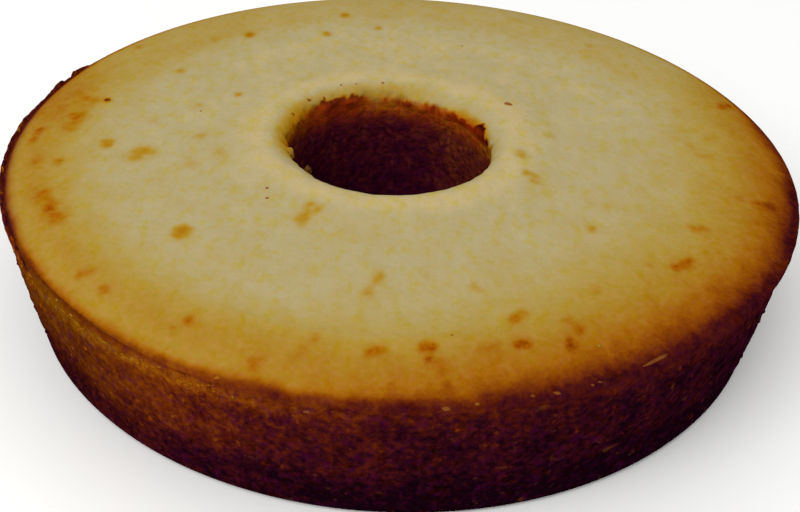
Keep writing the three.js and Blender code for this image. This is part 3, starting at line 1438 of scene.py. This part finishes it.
    def groove_line(self, angle: np.ndarray) -> np.ndarray:
        """Gives the height of the crease at the lower left, which slopes along the rim."""
        return self.groove_height + self.groove_slope * self.groove.turn(angle)

    def rim_share(self, skin: Skin) -> np.ndarray:
        """Gives the share of the way from the top of the side, 0, up to the rim, 1, with soft ends."""
        return Ramp(self.rim_height - self.rim_round, self.rim_height).at(skin.height)

    def _rim_climb(self, skin: Skin) -> np.ndarray:
        """Gives the same share at an even rate."""
        return np.clip((skin.height - self.rim_height + self.rim_round) / self.rim_round, 0, 1)

    def lip_run(self, skin: Skin) -> np.ndarray:
        """Follows the lip from its crest down to the neck of the hole.

        Args:
            skin: The points.

        Returns:
            The share of the way, 0 at the crest and 1 at the neck.
        """
        across = self.lip_radius - skin.reach
        down = self.cake_height - skin.height
        whole = self.lip_radius - self.hole_radius + self.cake_height - self.neck_height
        return np.clip((across + down) / whole, 0, 1)

    def shape(self, skin: Skin) -> None:
        """Moves the turned points outward and upward into the crust's relief.

        Args:
            skin: The points.
        """
        rim_out, rim_rise = self._rim_relief(skin)
        mouth_out, mouth_rise = self._mouth_relief(skin)
        out = self._side_relief(skin) + rim_out + mouth_out
        rise = self._top_relief(skin) + rim_rise + mouth_rise
        inward = (self.shoulder_radius - skin.reach) / (self.shoulder_radius - self.lip_radius)
        skin.points[:, :2] += skin.outward * out[:, None]
        skin.points[:, :2] += np.clip(inward, 0, 1)[:, None] * np.array(self.hole_shift)
        skin.points[:, 2] += rise

    def _top_relief(self, skin: Skin) -> np.ndarray:
        """Swells the top, makes it uneven and raises the fold along its front.

        Args:
            skin: The points.

        Returns:
            How far each point rises.
        """
        upper = skin.within(Zone.TOP, Zone.LIP)
        turn = np.radians(skin.angle)
        inside = np.clip((self.rim_radius - skin.reach) / (self.rim_radius - self.shoulder_radius), 0, 1)
        swell = self.broad_swell * np.sin(2 * turn + 1) * np.cos(turn)
        uneven = inside * (swell + skin.lumps(upper, self.top_lumps))
        return np.where(upper, uneven + self.fold.share(skin.angle) * self.fold_rise.at(skin.reach), 0)

    def _side_relief(self, skin: Skin) -> np.ndarray:
        """Makes the side crumbly and bulges the rim at the right.

        Args:
            skin: The points.

        Returns:
            How far each point moves outward.
        """
        outer = skin.within(Zone.SIDE, Zone.RIM)
        climb = self._rim_climb(skin)
        crumb = skin.lumps(outer, self.side_crumb) * self.above_foot.at(skin.height - self.base_round / 2)
        crumb *= 1 - self.rim_smoothness * climb
        bulge = self.bulge_depth * self.bulge.share(skin.angle) * climb
        return np.where(outer, bulge - crumb, 0)

    def _rim_relief(self, skin: Skin) -> tuple[np.ndarray, np.ndarray]:
        """Raises the crust at the left with a crease behind it, and cuts the crease at the lower left.

        Args:
            skin: The points.

        Returns:
            How far each point moves outward, and how far it rises.
        """
        outer = skin.within(Zone.SIDE, Zone.RIM)
        upper = skin.within(Zone.TOP, Zone.LIP)
        ragged = 1 + skin.lumps(outer | upper, self.rim_ragged)
        from_line = skin.height - self.groove_line(skin.angle)
        band = self.groove_band.at(from_line) * (ragged - self.band_start)
        cut = band - self.groove_depth.at(from_line) * ragged
        out = np.where(outer, self.groove.share(skin.angle) * cut, 0)
        from_rim = skin.reach - self.rim_radius
        crest = self.flap_rise.at(from_rim) * ragged * self._rim_climb(skin)
        crease = np.where(upper, self.crease_depth.at(from_rim + self.crease_inset), 0)
        rise = np.where(outer | upper, self.flap.share(skin.angle) * (crest - crease), 0)
        return out, rise

    def _mouth_relief(self, skin: Skin) -> tuple[np.ndarray, np.ndarray]:
        """Tears the mouth of the hole, roughens its wall and leaves flakes of crust along its edge.

        Args:
            skin: The points.

        Returns:
            How far each point moves outward, and how far it rises.
        """
        in_lip = skin.within(Zone.LIP)
        in_wall = skin.within(Zone.WALL)
        torn = sum(depth * span.share(skin.angle) for span, depth in self.tears())
        torn -= sum(depth * span.share(skin.angle) for span, depth in self.lobes)
        crags = skin.lumps(in_lip | in_wall, self.wall_crags)
        wall_share = np.clip(skin.height / self.neck_height, 0, 1) ** 3
        wall_crags = crags * self.above_foot.at(skin.height - self.hole_base_round)
        run = self.lip_run(skin)
        flakes = np.clip(self.flake_start + skin.lumps(in_lip, self.mouth_flakes), 0, self.largest_flake)
        ledge = self.ledge_depth.at(run) * self.mouth_crust.share(skin.angle) * flakes
        out = np.where(in_wall, torn * wall_share + wall_crags, 0)
        out += np.where(in_lip, (torn + crags) * run**2 - ledge, 0)
        return out, np.where(in_lip, self.ledge_rise * ledge, 0)

    def build(self, camera: PhotoCamera) -> bpy.types.Object:
        """Makes the cake, and keeps its faces and their tones for what lies on it.

        Args:
            camera: The camera whose pixels place the marks of the top.

        Returns:
            The object, not yet dressed.
        """
        form = self.turned()
        reach_layer = form.verts.layers.float["reach"]
        zone_layer = form.verts.layers.int["zone"]
        skin = Skin(
            np.array([vertex.co for vertex in form.verts]),
            np.array([vertex[reach_layer] for vertex in form.verts]),
            np.array([vertex[zone_layer] for vertex in form.verts]),
        )
        self.shape(skin)
        for vertex, place in zip(form.verts, skin.points):
            vertex.co = place
        self.surface = BVHTree.FromBMesh(form)
        values = Browning().values(Bake(self, skin))
        tones = values[Held.BROWNING]
        self.face_tones = np.array([tones[face.verts[0].index] for face in form.faces])
        values[Held.BLISTER] += Blisters().gain(skin, self.surface, camera)
        return self.finished(form, "ring_cake", values)


@dataclass(frozen=True)
class RimCrust(CrustPiece):
    """Thin crust that stood against the pan at the left of the rim, with a broken crest."""

    span: AngleSpan = AngleSpan(185, 34, 10)
    notch: AngleSpan = AngleSpan(160.2, 1.6, 0.8)
    notch_depth: float = 0.9  # of the crust's height
    worn: AngleSpan = AngleSpan(169, 7, 4)
    worn_depth: float = 0.35
    chip: AngleSpan = AngleSpan(156.6, 2.8, 0.8)
    chip_height: float = 0.8 * MM
    radius: float = 119.5 * MM
    foot: float = 41.6 * MM
    crest: float = 44.3 * MM
    thickness: float = 1 * MM
    steps: int = 300
    stand: float = 0.85  # the crest's mean height, as a share of its full height
    stand_limits: tuple[float, float] = (0.1, 1.2)
    breaks: tuple[Lumps, ...] = (Lumps(0.25, 9 * MM, 1.3), Lumps(0.15, 2.6 * MM, 2.6))
    uneven: tuple[Lumps, ...] = (Lumps(0.35 * MM, 4 * MM, 4.2), Lumps(0.15 * MM, 1.4 * MM, 5.1))
    foot_tone: float = 0.6
    crest_gain: Ramp = Ramp(0.2, 0.8, 0.24)
    flecks: Lumps = Lumps(3, 3 * MM, 6.4)
    fleck_start: float = 0.8
    fleck_loss: float = 0.25
    clouds: Lumps = Lumps(0.06, 2 * MM, 8.3)

    def build(self) -> bpy.types.Object:
        """Makes the crust.

        Returns:
            The object, not yet dressed.
        """
        form = bmesh.new()
        half = self.thickness / 2
        top = self.crest - half
        face = ((half, self.foot), (half, (self.foot + top) / 2), (half, top), (half / 2, self.crest))
        section = face + tuple((-across, up) for across, up in reversed(face))
        outline = [form.verts.new((self.radius + across, 0, up)) for across, up in section]
        first = Matrix.Rotation(math.radians(self.span.middle - self.span.spread), 3, "Z")
        bmesh.ops.rotate(form, cent=(0, 0, 0), matrix=first, verts=form.verts)
        spun(form, outline, 2 * self.span.spread, self.steps)
        bmesh.ops.holes_fill(form, edges=[edge for edge in form.edges if edge.is_boundary])
        bmesh.ops.recalc_face_normals(form, faces=form.faces)
        points = np.array([vertex.co for vertex in form.verts])
        tones = self._roughen(points)
        for vertex, place in zip(form.verts, points):
            vertex.co = place
        values = {Held.BROWNING: tones, Held.CRUMB: np.ones(len(tones))}
        return self.finished(form, "rim_crust", values)

    def _roughen(self, points: np.ndarray) -> np.ndarray:
        """Breaks the crest and makes the faces uneven.

        Args:
            points: The crust's points, which are moved.

        Returns:
            How far each point has browned.
        """
        turn = np.arctan2(points[:, 1], points[:, 0])
        angle = np.degrees(turn) % FULL_TURN
        outward = np.stack([np.cos(turn), np.sin(turn)], axis=1)
        ring = np.column_stack([outward * self.radius, np.zeros(len(points))])
        stand = self.span.share(angle) * np.clip(self.stand + summed(self.breaks, ring), *self.stand_limits)
        stand *= 1 - self.notch_depth * self.notch.share(angle) - self.worn_depth * self.worn.share(angle)
        share = (points[:, 2] - self.foot) / (self.crest - self.foot)
        points[:, 2] = self.foot + (points[:, 2] - self.foot) * stand
        points[:, 2] += share * self.chip_height * self.chip.share(angle)
        points[:, :2] += outward * summed(self.uneven, points)[:, None]
        flecked = np.clip(self.flecks.at(points) - self.fleck_start, 0, 1)
        tones = self.foot_tone + self.crest_gain.at(share)
        return tones - self.fleck_loss * flecked + self.clouds.at(points)


@dataclass(frozen=True)
class Crumb:
    """One small lump of crust or crumb that sits on the cake."""

    place: Vector
    normal: Vector
    along: Vector
    length: float
    width: float
    height: float
    tone: float
    flake: float = 0.0


@dataclass(frozen=True)
class CrumbSet(CrustPiece):
    """Small lumps of one kind, joined into one piece. More cuts make each of them rounder."""

    name: str
    cuts: int
    crumbs: list[Crumb]
    wobble: float = 0.55
    wobble_scale: float = 1.3
    wobble_step: float = 2.7  # from one lump's noise to the next one's

    def build(self) -> bpy.types.Object:
        """Makes the lumps.

        Returns:
            The object, not yet dressed.
        """
        form = bmesh.new()
        tone_layer = form.verts.layers.float.new(Held.BROWNING.value)
        rough_layer = form.verts.layers.float.new(Held.CRUMB.value)
        shaded_flake_layer = form.verts.layers.float.new(Held.SHADED_FLAKE.value)
        for item, crumb in enumerate(self.crumbs):
            lump = bmesh.ops.create_icosphere(form, subdivisions=self.cuts, radius=1)
            axes = self._axes(crumb)
            own_noise = Vector((item * self.wobble_step, 0, 0))
            for vertex in lump["verts"]:
                shape = 1 + self.wobble * noise.noise(vertex.co * self.wobble_scale + own_noise)
                vertex.co = crumb.place + axes @ (vertex.co * shape)
                vertex[tone_layer] = crumb.tone
                vertex[rough_layer] = 1.0
                vertex[shaded_flake_layer] = crumb.flake
        return self.finished(form, self.name, {})

    @staticmethod
    def _axes(crumb: Crumb) -> Matrix:
        """Works out how a crumb lies.

        Args:
            crumb: The crumb.

        Returns:
            Its half length, half width and half height as the columns of a matrix.
        """
        across = crumb.normal.cross(crumb.along).normalized()
        along = across.cross(crumb.normal).normalized()
        sides = (along * crumb.length / 2, across * crumb.width / 2, crumb.normal * crumb.height / 2)
        return Matrix(sides).transposed()


@dataclass(frozen=True)
class Strew:
    """Crumbs strewn over a part of the side: angles in degrees, heights and widths in millimetres."""

    count: int
    middle: float
    spread: float
    heights: tuple[float, float]
    widths: tuple[float, float]
    lighter: tuple[float, float]  # by how much they are less browned than what carries them


WHOLE_SIDE = Strew(620, 0, 180, (4, 39), (0.7, 1.8), (-0.04, 0.08))
LEFT_RIM = Strew(70, 230, 22, (36, 41), (0.5, 1.2), (0.0, 0.12))


@dataclass(frozen=True)
class Scatter:
    """Finds places on the cake for crumbs, by pixels or round its side."""

    surface: BVHTree
    tones: np.ndarray
    camera: PhotoCamera
    seed: int = 7
    outside: float = 200 * MM
    longest: float = 1.8  # of a strewn crumb's width
    stand: float = 0.6

    def seen(self, fleck: Fleck) -> Crumb:
        """Puts a crumb where the camera sees it.

        Args:
            fleck: The crumb's pixels, sizes and looks.

        Returns:
            The crumb.
        """
        place, normal = self.camera.hit(self.surface, fleck.start)
        along = self.camera.axes().col[0]
        length = fleck.length * MM
        if fleck.end is not None:
            far = self.camera.hit(self.surface, fleck.end)[0]
            along = far - place
            length = along.length
            place = (place + far) / 2
        width = fleck.width * MM
        height = width * fleck.stand
        return Crumb(place, normal, along, length, width, height, fleck.tone, fleck.flake)

    def strewn(self, strew: Strew) -> list[Crumb]:
        """Strews crumbs over a part of the side.

        Args:
            strew: How many, where and of what sizes.

        Returns:
            The crumbs.
        """
        chance = random.Random(self.seed)
        crumbs = []
        for item in range(strew.count):
            angle = math.radians(strew.middle + strew.spread * (2 * spread_share(item) - 1))
            outward = Vector((math.cos(angle), math.sin(angle), 0))
            start = outward * self.outside + Vector((0, 0, chance.uniform(*strew.heights) * MM))
            place, normal, face, _ = self.surface.ray_cast(start, -outward)
            width = chance.uniform(*strew.widths) * MM
            length = width * chance.uniform(1, self.longest)
            along = Vector((chance.uniform(-1, 1), chance.uniform(-1, 1), chance.uniform(-1, 1)))
            tone = self.tones[face] - chance.uniform(*strew.lighter)
            crumbs.append(Crumb(place, normal, along, length, width, width * self.stand, tone))
        return crumbs

    def sets(self) -> list[CrumbSet]:
        """Gathers all crumbs into their pieces.

        Returns:
            The light flakes, the dark specks and the lumps of the side.
        """
        pale = [self.seen(fleck) for fleck in PALE_FLECKS + MOUTH_CRUMBS]
        dark = [self.seen(fleck) for fleck in DARK_SPECKS]
        side = self.strewn(WHOLE_SIDE) + self.strewn(LEFT_RIM)
        return [
            CrumbSet("pale_crumbs", 2, pale),
            CrumbSet("dark_specks", 2, dark),
            CrumbSet("side_crumbs", 1, side),
        ]


@dataclass(frozen=True)
class Studio:
    """Pale floor and soft light round the cake."""

    floor_size: float = 4.0
    floor_cells: int = 4
    sky_strength: float = 0.84
    key_power: float = 6.5
    key_place: Vector = Vector((-0.42, -0.7, 0.85))
    key_size: float = 0.8

    def build(self) -> None:
        """Makes the floor, the world and the key light."""
        self._floor()
        self._world()
        self._key()
        log.info("studio: floor, world and key light")

    def _floor(self) -> None:
        """Makes the floor that the cake stands on."""
        form = bmesh.new()
        cells = self.floor_cells
        bmesh.ops.create_grid(form, x_segments=cells, y_segments=cells, size=self.floor_size / 2)
        mesh = bpy.data.meshes.new("floor")
        form.to_mesh(mesh)
        form.free()
        mesh.materials.append(FloorFinish().make())
        floor = bpy.data.objects.new("floor", mesh)
        bpy.context.scene.collection.objects.link(floor)

    def _world(self) -> None:
        """Makes the even light from all round."""
        world = bpy.data.worlds.new("soft_room")
        world.use_nodes = True
        background = world.node_tree.nodes["Background"]
        background.inputs["Color"].default_value = (1, 1, 1, 1)
        background.inputs["Strength"].default_value = self.sky_strength
        bpy.context.scene.world = world

    def _key(self) -> None:
        """Makes one square lamp that points at the cake."""
        lamp = bpy.data.lights.new("key", "AREA")
        lamp.size = self.key_size
        lamp.energy = self.key_power
        light = bpy.data.objects.new("key", lamp)
        light.location = self.key_place
        light.rotation_euler = self.key_place.to_track_quat("Z", "Y").to_euler()
        bpy.context.scene.collection.objects.link(light)


def main() -> None:
    """Builds the camera, the cake with its crust and crumbs, and the studio, in order."""
    logging.basicConfig(level=logging.INFO, format="%(name)s: %(message)s")
    bpy.context.scene.view_settings.view_transform = "Standard"
    camera = PhotoCamera()
    camera.build()
    crust = CrustFinish().make()
    ring = RingCake()
    cake = ring.build(camera)
    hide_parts(CAKE_NODE)
    ring.dress(cake, crust)
    places = Scatter(ring.surface, ring.face_tones, camera)
    for maker in (RimCrust(), *places.sets()):
        maker.dress(maker.build(), crust)
    Studio().build()


if __name__ == "__main__":
    main()
